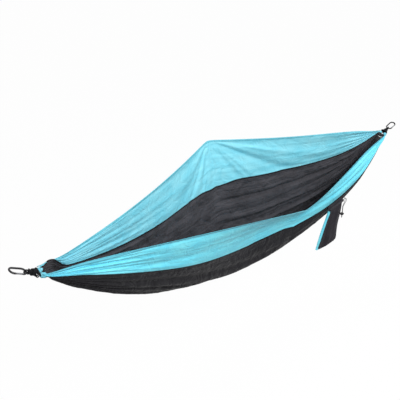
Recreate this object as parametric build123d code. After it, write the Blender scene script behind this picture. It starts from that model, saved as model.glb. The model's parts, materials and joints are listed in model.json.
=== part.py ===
"""Camping hammock with three cloth panels, gathered ends, clips and a sewn-on stuff sack.

Millimetres. The origin is where the foot clip bears on its anchor, +X runs along the hang to
the head clip's bearing point, +Y is the back side, whose edge is pulled out, and +Z is up.
"""
from build123d import *
from math import atan2, cos, degrees, exp, hypot, radians, sin, sqrt, tan
import os

# ---- driving dimensions: the hang ----
hang_span = 2720.0            # between the two bearing points
foot_slope = 27.0             # degrees the foot end falls from its anchor
head_slope = 20.0
end_roll = 14.0               # degrees that each end rolls, back side up

# ---- driving dimensions: the cloth ----
cloth_thickness = 3.0
side_share = 0.185            # of the width between the edges, in one side panel
hem_width = 12.0
hem_thickness = 4.6
seam_width = 10.0
seam_thickness = 5.0
trim_end_share = 0.4          # a hem or seam is bunched to this share of its width at the ends
cloth_gap = 0.4               # between neighbouring cloth pieces

# ---- driving dimensions: the hung shape ----
peak_x, peak_y, peak_z = 1450.0, 472.0, 56.0      # where the back edge is pulled out to a point
peak_round = 18.0                                 # bend of the back edge at that point
peak_spread = 320.0                               # how far below the edge the point still shows
peak_stretch = 30.0                               # how much wider the back side panel is pulled there
peak_stretch_reach = 110.0
back_foot_sag = 52.0
back_head_pull = 27.0
back_head_lift = 18.0
kink_x, kink_y, kink_z = 1900.0, 24.0, -385.0     # lowest point of the front edge
front_foot_rise = 10.0
front_head_curve = 0.37
keel_x, keel_y, keel_z = 1508.0, 305.0, -716.0    # lowest point of the cloth
keel_foot_power = 2.05
keel_head_power = 2.9
keel_side_power = 3.0
front_bow_foot = 118.0         # how far the front side panel leans back below its edge
front_bow_head = -120.0
front_wall = 0.8
front_floor = 0.7
nip_x = 1810.0                 # where the front side panel is drawn in flat above a bulging belly
nip_foot_reach, nip_head_reach = 950.0, 710.0
nip_bow, nip_wall, nip_floor = 310.0, 0.47, 1.25
back_floor = 0.43
back_wall = 0.34
end_reach = 210.0             # length over which the cloth opens from a gathered end

# ---- driving dimensions: cords and channels ----
cord_d = 6.0
channel_d = 20.0
channel_bore = 8.0
channel_bend = 16.0           # radius of the bunched channel's bend, at its middle
channel_leg = 14.0
whip_start = 80.0             # from the anchor's bearing point, along the end
whip_length = 21.5
whip_cord_d = 4.4
cord_pitch = 6.6              # between the two strands inside the whipping
leg_start = 122.0

# ---- driving dimensions: clips ----
clip_rod_d = 8.0
clip_inner_length = 62.0
clip_inner_width = 26.0
gate_d = 7.0
tongue_thickness = 3.0
fork_gap = 0.25
pin_d = 2.4
pin_clearance = 0.08
gate_bore_d = 4.0
spring_wire_d = 0.6
plunger_length = 6.0
plunger_clearance = 0.2


# ---- the two ends: a plane whose x runs from the anchor towards the cloth and whose y is the back ----
def end_plane(at_head):
    """Local plane of one end: x along the end, y to the back, rolled."""
    slope = radians(head_slope if at_head else foot_slope)
    run = -1 if at_head else 1
    along = Vector(run * cos(slope), 0, -sin(slope))
    over = Vector(run * sin(slope), 0, cos(slope))
    back = Vector(0, 1, 0) * cos(radians(end_roll)) + over * sin(radians(end_roll))
    anchor = Vector(hang_span if at_head else 0, 0, 0)
    return Plane(origin=anchor, x_dir=along, z_dir=along.cross(back))


FOOT, HEAD = end_plane(False), end_plane(True)
bend_x = leg_start + channel_leg          # centre of the channel's bend, along the end
foot_end, head_end = FOOT.from_local_coords((leg_start, 0, 0)), HEAD.from_local_coords((leg_start, 0, 0))


# ---- the hung surface ----
def smooth(t):
    t = min(1.0, max(0.0, t))
    return t * t * (3 - 2 * t)


def mix(a, b, t):
    return a + (b - a) * t


def back_edge(x, rounding):
    """Depth and height of the back edge, its point rounded by the given distance."""
    def from_end(end, sag, pull, lift):
        run = abs(peak_x - end.X)
        q = max(0.0, 1 - hypot(x - peak_x, rounding) / hypot(run, rounding))
        bow, end_bow = 4 * q * (1 - q), 12.2 * q * (1 - q) ** 4
        y = end.Y + channel_bend + (peak_y - channel_bend) * q - pull * bow
        return y, end.Z + (peak_z - end.Z) * q - sag * bow + lift * end_bow

    headward = smooth((x - peak_x) / (2 * rounding) + 0.5)
    foot = from_end(foot_end, back_foot_sag, 0, 0)
    head = from_end(head_end, 0, back_head_pull, back_head_lift)
    return mix(foot[0], head[0], headward), mix(foot[1], head[1], headward)


def front_edge(x):
    """Straight and tight from the foot to the kink, then curved up to the head."""
    if x < kink_x:
        q = max(0.0, (x - foot_end.X) / (kink_x - foot_end.X))
        y = -channel_bend + (kink_y + channel_bend) * smooth(q)
        return y, foot_end.Z + (kink_z - foot_end.Z) * q + front_foot_rise * 9.5 * q * (1 - q) ** 3
    q = max(0.0, (head_end.X - x) / (head_end.X - kink_x))
    y = -channel_bend + (kink_y + channel_bend) * smooth(q)
    return y, head_end.Z + (kink_z - head_end.Z) * mix(q, smooth(q), front_head_curve)


def section(x):
    """The cloth at one x, as two cubic Beziers: front edge to keel, and keel to back edge."""
    end = foot_end if x < keel_x else head_end
    off = min(1.0, abs(x - keel_x) / abs(keel_x - end.X))
    full = 1 - off ** (keel_foot_power if x < keel_x else keel_head_power)
    nip = smooth(1 - (nip_x - x) / nip_foot_reach) if x < nip_x else smooth(1 - (x - nip_x) / nip_head_reach)
    bow_in = mix(mix(front_bow_foot, front_bow_head, smooth((x - keel_x) / (kink_x - keel_x))), nip_bow, nip)
    wall, floor = mix(front_wall, nip_wall, nip), mix(front_floor, nip_floor, nip)
    yk = keel_y * (1 - off**keel_side_power)
    zk = end.Z - channel_bend + (keel_z - end.Z + channel_bend) * full
    yf, zf = front_edge(x)
    yb, zb = back_edge(x, peak_round)
    ys, zs = back_edge(x, peak_spread)
    reach = max(ys - yk, channel_bend)
    front = [(yf, zf), (yf + bow_in * full, zf - (zf - zk) * wall), (yk - (yk - yf) * floor, zk), (yk, zk)]
    back = [(yk, zk), (yk + reach * back_floor, zk), (ys, zs - (zs - zk) * back_wall), (yb, zb)]
    return [[Vector(x, y, z) for y, z in half] for half in (front, back)]


def end_section(plane):
    """Two quarter bends round a channel's bend, sinking to its underside, which the cloth hangs from."""
    reach = channel_d / 2 + hem_thickness / 2 + cloth_gap
    edge, middle = channel_bend + reach, channel_bend + reach * sqrt(0.5)
    drop = reach * sqrt(0.5) * (-1 if plane.z_dir.Z > 0 else 1)
    bow = 4 / 3 * (sqrt(2) - 1)
    front = [(-channel_leg, -middle, -drop), (middle * bow, -edge * 1.1, -drop * bow), (middle, -edge * bow, drop), (middle, 0, drop)]
    back = [(a, -b, c) for a, b, c in reversed(front)]
    return [[plane.from_local_coords((bend_x + a, b, c)) for a, b, c in half] for half in (front, back)]


def opening_section(plane, share):
    """The cloth part of the way from a gathered end to the first full section."""
    at_head = plane is HEAD
    x = head_end.X - end_reach if at_head else foot_end.X + end_reach
    step = -8.0 if at_head else 8.0
    halves = []
    for start, stop, beyond in zip(end_section(plane), section(x), section(x + step)):
        half = []
        for p0, p1, p2 in zip(start, stop, beyond):
            leave = (plane.x_dir + (p1 - p0).normalized()) * (end_reach * 0.3)
            half.append(hermite(p0, leave, p1, (p2 - p1) * (end_reach / abs(step)), share))
        halves.append(half)
    return halves


def hermite(p0, m0, p1, m1, t):
    """Smooth run from p0 to p1 that leaves along m0 and arrives along m1."""
    t2, t3 = t * t, t**3
    return p0 * (2 * t3 - 3 * t2 + 1) + m0 * (t3 - 2 * t2 + t) + p1 * (3 * t2 - 2 * t3) + m1 * (t3 - t2)


def cloth_lengths(halves, steps=24):
    """Running length across a section, at even steps of the parameter of its two halves."""
    lengths = [0.0]
    last = halves[0][0]
    for half in halves:
        for i in range(1, steps + 1):
            t = i / steps
            s = 1 - t
            point = half[0] * s**3 + half[1] * (3 * s * s * t) + half[2] * (3 * s * t * t) + half[3] * t**3
            lengths.append(lengths[-1] + (point - last).length)
            last = point
    return lengths


def parameter_at(lengths, distance):
    """Parameter (0 to 2 over the two halves) at a distance from the front edge."""
    steps = (len(lengths) - 1) // 2
    k = 0
    while k < len(lengths) - 2 and lengths[k + 1] < distance:
        k += 1
    return (k + (distance - lengths[k]) / (lengths[k + 1] - lengths[k])) / steps


def stations():
    """Every section of the cloth from foot to head, how far it is opened out and how much it is pulled."""
    opening = [0.0, 0.12, 0.28, 0.46, 0.64, 0.82]
    first, last = foot_end.X + end_reach, head_end.X - end_reach
    count = 26
    xs = [first + (last - first) * i / count for i in range(count + 1)]
    near = [peak_x + k * peak_round for k in (-4, -1.6, -0.6, 0, 0.6, 1.6, 4)]
    xs = sorted([x for x in xs if abs(x - peak_x) > 5 * peak_round] + near)
    foot_part = [(opening_section(FOOT, t), smooth(t), 0.0) for t in opening]
    head_part = [(opening_section(HEAD, t), smooth(t), 0.0) for t in reversed(opening)]
    middle = [(section(x), 1.0, peak_stretch * exp(-(((x - peak_x) / peak_stretch_reach) ** 2))) for x in xs]
    return foot_part + middle + head_part


SECTIONS = [(halves, cloth_lengths(halves), opened, pulled) for halves, opened, pulled in stations()]


def trim(width, opened):
    """Width of a hem or seam where the cloth is bunched by this much."""
    return width * (trim_end_share + (1 - trim_end_share) * opened)


def point_on(halves, parameter):
    """Point on a section, its parameter 0 to 1 over the front half and 1 to 2 over the back."""
    half, t = (halves[0], parameter) if parameter < 1 else (halves[1], parameter - 1)
    s = 1 - t
    return half[0] * s**3 + half[1] * (3 * s * s * t) + half[2] * (3 * s * t * t) + half[3] * t**3


def strip(low, high, thickness, across=9):
    """Closed solid of one cloth piece; low and high give its two long sides from the width there."""
    edges = []
    for halves, lengths, opened, pulled in SECTIONS:
        a, b = low(lengths[-1], opened, pulled), high(lengths[-1], opened, pulled)
        places = [i / across for i in range(across + 1)]
        points = [point_on(halves, parameter_at(lengths, mix(a, b, place))) for place in places]
        edges.append(Wire([Edge.make_spline(points, parameters=places)]))
    return Solid.thicken(Shell.make_loft(edges), thickness)


def cloth_pieces():
    """The three panels with their seams and edge hems, side by side with a small gap."""
    gap = cloth_gap / 2

    def near_edge(width, opened, pulled):
        return 0.0

    def far_edge(width, opened, pulled):
        return width

    def beside(line, moved, offset):
        """A line moved by a width that is bunched with the cloth, and by a gap."""
        def place(width, opened, pulled):
            return line(width, opened, pulled) + trim(moved, opened) + offset
        return place

    def front(width, opened, pulled):
        return side_share * width

    def back(width, opened, pulled):
        return (1 - side_share) * width - pulled

    hem, half = hem_width, seam_width / 2
    return {
        "front_edge_hem": strip(near_edge, beside(near_edge, hem, -gap), hem_thickness, 3),
        "front_side_panel": strip(beside(near_edge, hem, gap), beside(front, -half, -gap), cloth_thickness, 6),
        "front_seam": strip(beside(front, -half, gap), beside(front, half, -gap), seam_thickness, 3),
        "centre_panel": strip(beside(front, half, gap), beside(back, -half, -gap), cloth_thickness, 24),
        "back_seam": strip(beside(back, -half, gap), beside(back, half, -gap), seam_thickness, 3),
        "back_side_panel": strip(beside(back, half, gap), beside(far_edge, -hem, -gap), cloth_thickness, 6),
        "back_edge_hem": strip(beside(far_edge, -hem, gap), far_edge, hem_thickness, 3),
    }


# ---- gathered ends, in an end's local plane: x along the end, y back, z across ----
def tube(path, outer, inner=0.0):
    """Round tube or rod along an edge or wire."""
    profile = Circle(outer / 2) - Circle(inner / 2) if inner else Circle(outer / 2)
    return sweep(Plane(origin=path @ 0, z_dir=path % 0) * profile, path)


def end_channel():
    """The sleeve sewn across the cloth's end, bunched on its cord into a U."""
    path = FilletPolyline((leg_start, -channel_bend), (bend_x + channel_bend, -channel_bend),
                          (bend_x + channel_bend, channel_bend), (leg_start, channel_bend), radius=channel_bend * 0.999)
    return tube(path, channel_d, channel_bore)


clip_end = clip_inner_length + clip_rod_d / 2          # middle of the rod that the cord eye bears on
eye = (clip_rod_d + cord_d) / 2 + 0.2
strand = cord_pitch / 2


def end_cord():
    """One closed loop of cord: round the clip, through the whipping and through the channel."""
    half = [(clip_end - eye, 0, 0), (clip_end - eye, 0, eye), (clip_end + 6, 0, eye), (whip_start, 0, strand),
            (whip_start + whip_length + 3.6, 0, strand), (leg_start - 5.5, -channel_bend, 0),
            (bend_x + channel_bend, -channel_bend, 0), (bend_x + channel_bend, 0, 0)]
    radii = [eye * 0.999, 9, 9, 9, 9, channel_bend * 0.999]
    path = FilletPolyline(*half, radius=radii)
    side = tube(path, cord_d)
    return side + side.rotate(Axis.X, 180)


def end_whipping():
    """Turns of thin cord that bind the two strands of the loop."""
    turns = int(whip_length / (whip_cord_d * 0.96))
    reach = cord_d / 2 + 0.2 + whip_cord_d / 2
    binding = None
    for i in range(turns):
        x = whip_start + 1.0 + whip_cord_d / 2 + i * whip_cord_d * 0.96
        ring = SlotCenterToCenter(cord_pitch, 2 * reach)
        path = (Plane(origin=(x, 0, 0), x_dir=(0, 0, 1), z_dir=(1, 0, 0)) * ring).face().outer_wire()
        turn = tube(path, whip_cord_d)
        binding = turn if binding is None else binding + turn
    return binding


# ---- clips: an oval of round rod with a sprung gate on the front side ----
clip_bow = (clip_inner_width + clip_rod_d) / 2
bow_in = clip_bow - clip_rod_d / 2                      # centre of the bow at the anchor end
bow_out = clip_inner_length - bow_in                    # centre of the bow at the cord end
pin_x = bow_out - 5.0
nose_x = bow_in + 2.0
tongue_h = gate_d - 1.2
heel_r = 2.4
fork_floor = pin_x - 4.3                               # inner end of the slot that straddles the heel
bore_floor = fork_floor - 10.0
pusher_tip = pin_x - heel_r - plunger_clearance


def clip_frame():
    rod_path = FilletPolyline((nose_x, -clip_bow), (bow_in - clip_bow, -clip_bow), (bow_in - clip_bow, clip_bow),
                              (bow_out + clip_bow, clip_bow), (bow_out + clip_bow, -clip_bow), (bow_out - 1, -clip_bow),
                              radius=clip_bow * 0.999)
    frame = tube(rod_path, clip_rod_d)
    heel = Box(bow_out - pin_x, tongue_h, tongue_thickness, align=(Align.MIN, Align.CENTER, Align.CENTER))
    frame += Pos(pin_x, -clip_bow, 0) * (heel + Cylinder(heel_r, tongue_thickness))
    frame += Pos(nose_x, -clip_bow, 0) * Box(4.0, tongue_h, tongue_thickness, align=(Align.MIN, Align.CENTER, Align.CENTER))
    frame += Pos(nose_x + 3.2, -clip_bow, 0) * Cylinder(1.1, tongue_thickness + 1.8)
    return frame - Pos(pin_x, -clip_bow, 0) * Cylinder(pin_d / 2 + 0.02, gate_d * 2)


def clip_gate():
    """Round bar, forked at its hinge and notched for the nose, bored for the spring and its pusher."""
    start = nose_x + fork_gap
    bar = Pos(start, -clip_bow, 0) * Rot(0, 90, 0) * Cylinder(gate_d / 2, pin_x - start, align=(Align.CENTER, Align.CENTER, Align.MIN))
    bar += Pos(pin_x, -clip_bow, 0) * Cylinder(gate_d / 2, gate_d) & (
        Pos(pin_x, -clip_bow, 0) * Rot(0, 90, 0) * Cylinder(gate_d / 2, gate_d * 2))
    slot = tongue_thickness + 2 * fork_gap
    bar -= Pos(start - 1, -clip_bow, 0) * Box(5.5, gate_d * 2, slot, align=(Align.MIN, Align.CENTER, Align.CENTER))
    bar -= Pos(nose_x + 3.2, -clip_bow, 0) * Box(2.8 + fork_gap, gate_d * 2, tongue_thickness + 2.6)
    fork = pin_x - fork_floor
    bar -= Pos(pin_x - fork, -clip_bow, 0) * Box(fork * 3, gate_d * 2, slot, align=(Align.MIN, Align.CENTER, Align.CENTER))
    bar -= Pos(bore_floor, -clip_bow, 0) * Rot(0, 90, 0) * Cylinder(
        gate_bore_d / 2, fork_floor - bore_floor + 1, align=(Align.CENTER, Align.CENTER, Align.MIN))
    return bar - Pos(pin_x, -clip_bow, 0) * Cylinder(pin_d / 2 + pin_clearance, gate_d * 2)


def clip_pin():
    return Pos(pin_x, -clip_bow, 0) * Cylinder(pin_d / 2, gate_d - 0.6)


def clip_pusher():
    """Round-nosed rod in the gate that the spring presses on the heel."""
    rod = Cylinder(gate_bore_d / 2 - plunger_clearance, plunger_length - 1, align=(Align.CENTER, Align.CENTER, Align.MIN))
    nose = Pos(0, 0, plunger_length - 1) * Cone(gate_bore_d / 2 - plunger_clearance, 1.0, 1.0, align=(Align.CENTER, Align.CENTER, Align.MIN))
    return Pos(pusher_tip - plunger_length, -clip_bow, 0) * Rot(0, 90, 0) * (rod + nose)


def clip_spring():
    length = pusher_tip - plunger_length - bore_floor - spring_wire_d - 0.2
    coil_r = gate_bore_d / 2 - plunger_clearance - spring_wire_d / 2
    coil = Helix(pitch=length / 4, height=length, radius=coil_r)
    wire = sweep(Plane(origin=coil @ 0, z_dir=coil % 0) * Circle(spring_wire_d / 2), coil, is_frenet=True)
    return Pos(bore_floor + spring_wire_d / 2 + 0.1, -clip_bow, 0) * Rot(0, 90, 0) * wire


# ---- stuff sack, in its own plane: x towards the head, y up, z to the front ----
sack_x = 2137.0                # where its foot corner is sewn along the front seam
sack_run = 92.0                # length of its mouth along x
sack_standoff = 17.5           # from the seam's outer face to the middle of the sack
sack_drop_foot = 302.0
sack_drop_head = 302.0
sack_lean_foot = 71.0          # how far the bottom corners lie towards the foot
sack_lean_head = 20.0
sack_corner_r = 14.0
sack_cloth = 2.0
sack_depth = 11.0              # clear space inside
side_seam_width = 4.0
hem_height = 20.0
hem_wall = 1.1                 # cloth each side of the drawcord in the mouth hem
hem_bore = 3.8
cord_spread = 9.0              # of the two runs of drawcord from the middle of the sack
drawcord_d = 3.0
lock_drop = 108.0              # from the corner of the mouth down to the lock
lock_size = (17.0, 15.0, 16.0)
lock_bore = (9.6, 12.1)        # height and depth of the button's bore
lock_floor = 2.2
button_clearance = 0.3
button_travel = 3.0
button_proud = 5.0
button_web = 2.4
strand_gap = 1.2               # between the two runs of cord in the lock
knot_r = 4.4
cord_join = 50.0               # below the mouth's corner, where the two runs come together
tab_height = 3.2
tab_clearance = 0.35           # from the seam, and from the sack's mouth hem
tab_inset = 8.0                # of the tab's ends from the mouth's corners


def seam_face_point(x, aside=0.0):
    """Point on the outer face of the front seam at one x, some way below the seam's middle."""
    def at(place):
        halves = section(place)
        lengths = cloth_lengths(halves)
        middle = parameter_at(lengths, side_share * lengths[-1] + aside)
        return point_on(halves, middle), point_on(halves, middle + 0.01)

    (here, over), (there, _) = at(x), at(x + 5)
    normal = (there - here).cross(over - here).normalized()
    if normal.Y > 0:
        normal = -normal
    return here + normal * seam_thickness


sack_foot_top, sack_head_top = seam_face_point(sack_x), seam_face_point(sack_x + sack_run)
sack_level = Vector(sack_head_top.X - sack_foot_top.X, sack_head_top.Y - sack_foot_top.Y, 0)
SACK = Plane(origin=sack_foot_top, x_dir=sack_level, z_dir=sack_level.cross(Vector(0, 0, 1))).offset(sack_standoff)
mouth_run = sack_level.length
mouth_rise = sack_head_top.Z - sack_foot_top.Z
mouth_length = hypot(mouth_run, mouth_rise)
mouth_angle = degrees(atan2(mouth_rise, mouth_run))


def sack_outline(inset=0.0, top=0.0):
    """Flat outline of the sack, its mouth edge sloping with the seam."""
    corners = [(0, 0), (mouth_run, mouth_rise), (mouth_run - sack_lean_head, mouth_rise - sack_drop_head),
               (-sack_lean_foot, -sack_drop_foot)]
    shape = Polygon(*corners, align=None)
    low = shape.vertices().sort_by(Axis.Y)[:2]
    shape = fillet(low, sack_corner_r)
    if inset:
        shape = offset(shape, amount=-inset, kind=Kind.INTERSECTION)
    if top:
        far, slope = 2 * sack_drop_head, mouth_rise / mouth_run
        cut = Polygon((-far, -far * slope - top), (far, far * slope - top), (far, 2 * far), (-far, 2 * far), align=None)
        shape -= cut
    return shape


def sack_slab(shape, low, high):
    return Pos(0, 0, low) * extrude(shape, amount=high - low, dir=(0, 0, 1))


panel_in = sack_depth / 2
hem_drop = hem_height / cos(radians(mouth_angle))


def sack_front_panel():
    return sack_slab(sack_outline(top=hem_drop + cloth_gap), panel_in, panel_in + sack_cloth)


def sack_back_panel():
    return sack_slab(sack_outline(top=hem_drop + cloth_gap), -panel_in - sack_cloth, -panel_in)


def sack_side_seam():
    """Bound edge that joins the two panels down both sides and along the bottom."""
    ring = sack_outline(top=hem_drop + cloth_gap) - sack_outline(inset=side_seam_width)
    ring -= Pos(0, side_seam_width * 2) * sack_outline(inset=side_seam_width)
    return sack_slab(ring, -panel_in + 0.05, panel_in - 0.05)


def along_mouth(x, up, z):
    """Point x along the mouth edge, up from it and z in front of the sack's middle."""
    a = radians(mouth_angle)
    return (x * cos(a) - up * sin(a), x * sin(a) + up * cos(a), z)


hem_z = hem_bore / 2 + hem_wall
bore_up = -hem_height * 0.4


def mouth_plane():
    """Plane whose x runs along the mouth, y to the sack's front and z up the sack, at the bore's height."""
    a = radians(mouth_angle)
    return Plane(origin=along_mouth(0, bore_up, 0), x_dir=(cos(a), sin(a), 0), z_dir=(-sin(a), cos(a), 0))


def mouth_strip(half_width):
    """U-shaped band in plan, closed at the foot side."""
    outer, inner = cord_spread + half_width, cord_spread - half_width
    bend = Pos(cord_spread + hem_z, 0) * (Circle(outer) - Circle(inner))
    bend &= Pos(cord_spread + hem_z, 0) * Rectangle(outer, outer * 2, align=(Align.MAX, Align.CENTER))
    run = mouth_length - cord_spread - hem_z
    sides = [Pos(cord_spread + hem_z, y) * Rectangle(run, half_width * 2, align=(Align.MIN, Align.CENTER))
             for y in (cord_spread, -cord_spread)]
    return bend + sides[0] + sides[1]


def sack_mouth_hem():
    """Hem round the mouth that the drawcord runs in, with both ends open at the head corner."""
    top, low = -bore_up, -bore_up - hem_height
    band = Pos(0, 0, low) * extrude(mouth_strip(hem_z), amount=hem_height, dir=(0, 0, 1))
    web = Pos(mouth_length - 2, 0, low) * Box(2, cord_spread * 2, hem_height * 0.3, align=(Align.MIN, Align.CENTER, Align.MIN))
    centre = cord_spread + hem_z
    path = FilletPolyline((mouth_length + 1, cord_spread), (centre - cord_spread, cord_spread),
                          (centre - cord_spread, -cord_spread), (mouth_length + 1, -cord_spread),
                          radius=cord_spread * 0.999)
    hem = band + web - tube(path, hem_bore)
    return mouth_plane() * hem


def strand_offset():
    return (drawcord_d + strand_gap) / 2


exit_x, exit_y, _ = along_mouth(mouth_length, bore_up, 0)
lock_x, lock_y = exit_x + 9.0, exit_y - lock_drop
knot_y = lock_y - lock_size[1] / 2 - 6.0
cord_out = 12.7                # straight on out of the hem
cord_hang = [(21.0, 6.0, 8.2), (26.5, -7.0, 6.8), (22.0, -26.0, 4.4)]     # then from the mouth's corner


def drawcord_route():
    """Corners of the drawcord, from the knot up the front run, round the hem and down the back run."""
    side = [(lock_x, knot_y, strand_offset()), (lock_x, exit_y - cord_join, strand_offset())]
    side += [(exit_x + x, exit_y + y, z) for x, y, z in reversed(cord_hang)]
    side += [along_mouth(x, bore_up, cord_spread) for x in (mouth_length + cord_out, hem_z)]
    return side + [(x, y, -z) for x, y, z in reversed(side)]


def corner_radius(before, corner, after, largest=400.0):
    """Largest bend that the two runs at a corner allow."""
    one, two = Vector(corner) - Vector(before), Vector(after) - Vector(corner)
    turn = radians(one.get_angle(two))
    return min(largest, 0.45 * min(one.length, two.length) / tan(turn / 2))


def sack_drawcord():
    route = drawcord_route()
    radii = [corner_radius(*route[i - 1:i + 2]) for i in range(1, len(route) - 1)]
    bend = len(route) // 2 - 1
    radii[bend - 1] = radii[bend] = cord_spread * 0.999
    path = FilletPolyline(*route, radius=radii)
    print("drawcord length", round(path.length, 1))
    return tube(path, drawcord_d)


def drawcord_knot():
    """Overhand knot that ties the two ends below the lock."""
    ball = Sphere(knot_r) + Pos(0, 0, -knot_r * 0.5) * Sphere(knot_r * 0.8)
    top = Pos(0, 0, knot_r * 0.72) * Box(20, 20, 20, align=(Align.CENTER, Align.CENTER, Align.MIN))
    return Pos(lock_x, knot_y - knot_r * 0.72, 0) * Rot(-90, 0, 0) * (ball - top)


slot_x = -lock_size[0] / 2 + lock_floor + 1.6 + button_travel + button_web + button_clearance + drawcord_d / 2
cord_half = drawcord_d / 2 + button_clearance


def cord_lock_body():
    """Rounded shell with a bore for the button and a slot for the two runs of cord."""
    wide, high, deep = lock_size
    shell = fillet(Box(wide, high, deep).edges(), 2.0)
    bore = Pos(-wide / 2 + lock_floor, 0, 0) * Box(wide, *lock_bore, align=(Align.MIN, Align.CENTER, Align.CENTER))
    slot = Pos(slot_x, 0, 0) * Box(2 * cord_half, high * 2, 2 * (strand_offset() + cord_half))
    return Pos(lock_x - slot_x, lock_y, 0) * (shell - bore - slot)


def cord_lock_button():
    """Push button: its inner web pinches the cord against the body until it is pressed."""
    start, stop = slot_x - cord_half - button_web, lock_size[0] / 2 + button_proud
    high, deep = (side - 2 * button_clearance for side in lock_bore)
    bar = Pos(start, 0, 0) * Box(stop - start, high, deep, align=(Align.MIN, Align.CENTER, Align.CENTER))
    bar = fillet(bar.edges().filter_by(Axis.X), 1.5)
    bar = fillet(bar.faces().sort_by(Axis.X)[-1].edges(), 1.2)
    slot = Pos(slot_x - cord_half, 0, 0) * Box(2 * cord_half + button_travel, 30, 2 * (strand_offset() + cord_half),
                                               align=(Align.MIN, Align.CENTER, Align.CENTER))
    return Pos(lock_x - slot_x, lock_y, 0) * (bar - slot)


def cord_lock_spring():
    wire_d, low = 0.5, -lock_size[0] / 2 + lock_floor + 0.1
    length = slot_x - cord_half - button_web - 0.1 - low - wire_d
    coil = Helix(pitch=length / 3, height=length, radius=2.8)
    wire = sweep(Plane(origin=coil @ 0, z_dir=coil % 0) * Circle(wire_d / 2), coil, is_frenet=True)
    return Pos(lock_x - slot_x + low + wire_d / 2, lock_y, 0) * Rot(0, 90, 0) * wire


def sack_seam_tab():
    """Sewn fold on the hammock's front seam that the sack's mouth hangs from, its back following the seam's slope."""
    a = radians(mouth_angle)
    rows = []
    for aside in (tab_height * 0.7, -tab_height * 0.7):
        face = SACK.to_local_coords(seam_face_point(sack_x + sack_run / 2, aside))
        rows.append((face.Y * cos(a) - face.X * sin(a), face.Z + tab_clearance))
    front = -cord_spread - hem_z - tab_clearance
    profile = Polygon(*rows, (rows[1][0], front), (rows[0][0], front), align=None)
    length = mouth_length - 2 * tab_inset
    plane = Plane(origin=along_mouth(tab_inset, 0, 0), x_dir=(-sin(a), cos(a), 0), z_dir=(cos(a), sin(a), 0))
    return plane * extrude(profile, amount=length, dir=(0, 0, 1))


def main():
    os.makedirs("parts", exist_ok=True)
    nodes = dict(cloth_pieces())
    end_parts = {"end_channel": end_channel(), "end_cord": end_cord(), "cord_whipping": end_whipping(),
                 "clip_frame": clip_frame(), "clip_gate": clip_gate(), "clip_gate_pin": clip_pin(),
                 "clip_gate_pusher": clip_pusher(), "clip_gate_spring": clip_spring()}
    for end, plane in (("foot", FOOT), ("head", HEAD)):
        for name, shape in end_parts.items():
            nodes[f"{end}_{name}"] = plane * shape
    sack_parts = {"sack_seam_tab": sack_seam_tab(), "sack_front_panel": sack_front_panel(),
                  "sack_back_panel": sack_back_panel(), "sack_side_seam": sack_side_seam(),
                  "sack_mouth_hem": sack_mouth_hem(), "sack_drawcord": sack_drawcord(),
                  "drawcord_knot": drawcord_knot(), "cord_lock_body": cord_lock_body(),
                  "cord_lock_button": cord_lock_button(), "cord_lock_spring": cord_lock_spring()}
    for name, shape in sack_parts.items():
        nodes[name] = SACK * shape
    for name, shape in nodes.items():
        export_step(shape, f"parts/{name}.step")


if __name__ == "__main__":
    main()
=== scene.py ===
import json
from math import atan2, cos, hypot, pi, radians, sin, sqrt

import bpy
import numpy as np
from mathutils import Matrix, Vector


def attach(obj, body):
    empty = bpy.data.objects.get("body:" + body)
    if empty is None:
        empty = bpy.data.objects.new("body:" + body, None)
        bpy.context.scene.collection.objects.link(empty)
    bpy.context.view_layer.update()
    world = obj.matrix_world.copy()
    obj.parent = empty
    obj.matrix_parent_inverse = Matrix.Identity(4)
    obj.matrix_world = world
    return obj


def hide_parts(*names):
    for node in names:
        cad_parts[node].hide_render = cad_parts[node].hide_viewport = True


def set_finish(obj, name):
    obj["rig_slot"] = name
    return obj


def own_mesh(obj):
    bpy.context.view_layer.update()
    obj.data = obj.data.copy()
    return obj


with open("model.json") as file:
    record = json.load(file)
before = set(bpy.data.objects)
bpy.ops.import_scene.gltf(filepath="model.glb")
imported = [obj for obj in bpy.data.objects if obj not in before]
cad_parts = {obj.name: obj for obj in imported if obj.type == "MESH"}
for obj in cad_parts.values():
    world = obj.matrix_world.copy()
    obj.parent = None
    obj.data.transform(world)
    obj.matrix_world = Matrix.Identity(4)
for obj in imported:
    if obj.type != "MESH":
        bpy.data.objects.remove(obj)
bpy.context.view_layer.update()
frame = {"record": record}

# ---------------------------------------------------------------- camera
camera = bpy.data.objects.new("camera", bpy.data.cameras.new("camera"))
bpy.context.collection.objects.link(camera)
camera.location = (-0.684, -1.788, 1.120)
camera.rotation_euler = (radians(90 - 25.02), 0, radians(-42.6))
camera.data.lens = 50.4
camera.data.sensor_width = 36.0
camera.data.clip_end = 60.0
bpy.context.scene.camera = camera

# ---------------------------------------------------------------- the hung shape, in metres and degrees
SPAN = 2.720
SLOPES = {"foot": 27.0, "head": 20.0}      # of each end's cord, down to the cloth
ROLL = 14.0                                # of each end about its own axis
# the sleeve: its two legs and its bend, from the hang point
LEG_START, LEG, BEND = 0.122, 0.014, 0.016
BEND_X = LEG_START + LEG
CHANNEL_R = 0.010
# thicknesses of the solids under the drawn cloth, and the gap between them
CLOTH, HEM_THICK, SEAM_THICK, GAP = 0.003, 0.0046, 0.005, 0.0004
# a side panel's share of the width, hem and seam widths, and their share of that at the sleeves
SIDE_SHARE, HEM, SEAM, TRIM = 0.185, 0.012, 0.010, 0.4
# where the back edge is drawn up, and how round the edge and the cloth below it are there
PEAK = (1.450, 0.472, 0.056)
PEAK_ROUND, PEAK_SPREAD = 0.018, 0.320
PEAK_STRETCH, STRETCH_REACH = 0.030, 0.110
BACK_FOOT_SAG, BACK_HEAD_PULL, BACK_HEAD_LIFT = 0.052, 0.027, 0.018
# the lowest point of the front edge, and of the whole cloth
KINK = (1.900, 0.024, -0.385)
FRONT_RISE, FRONT_CURVE = 0.010, 0.37
KEEL = (1.508, 0.305, -0.716)
KEEL_POWERS = (2.05, 2.9, 3.0)
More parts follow.
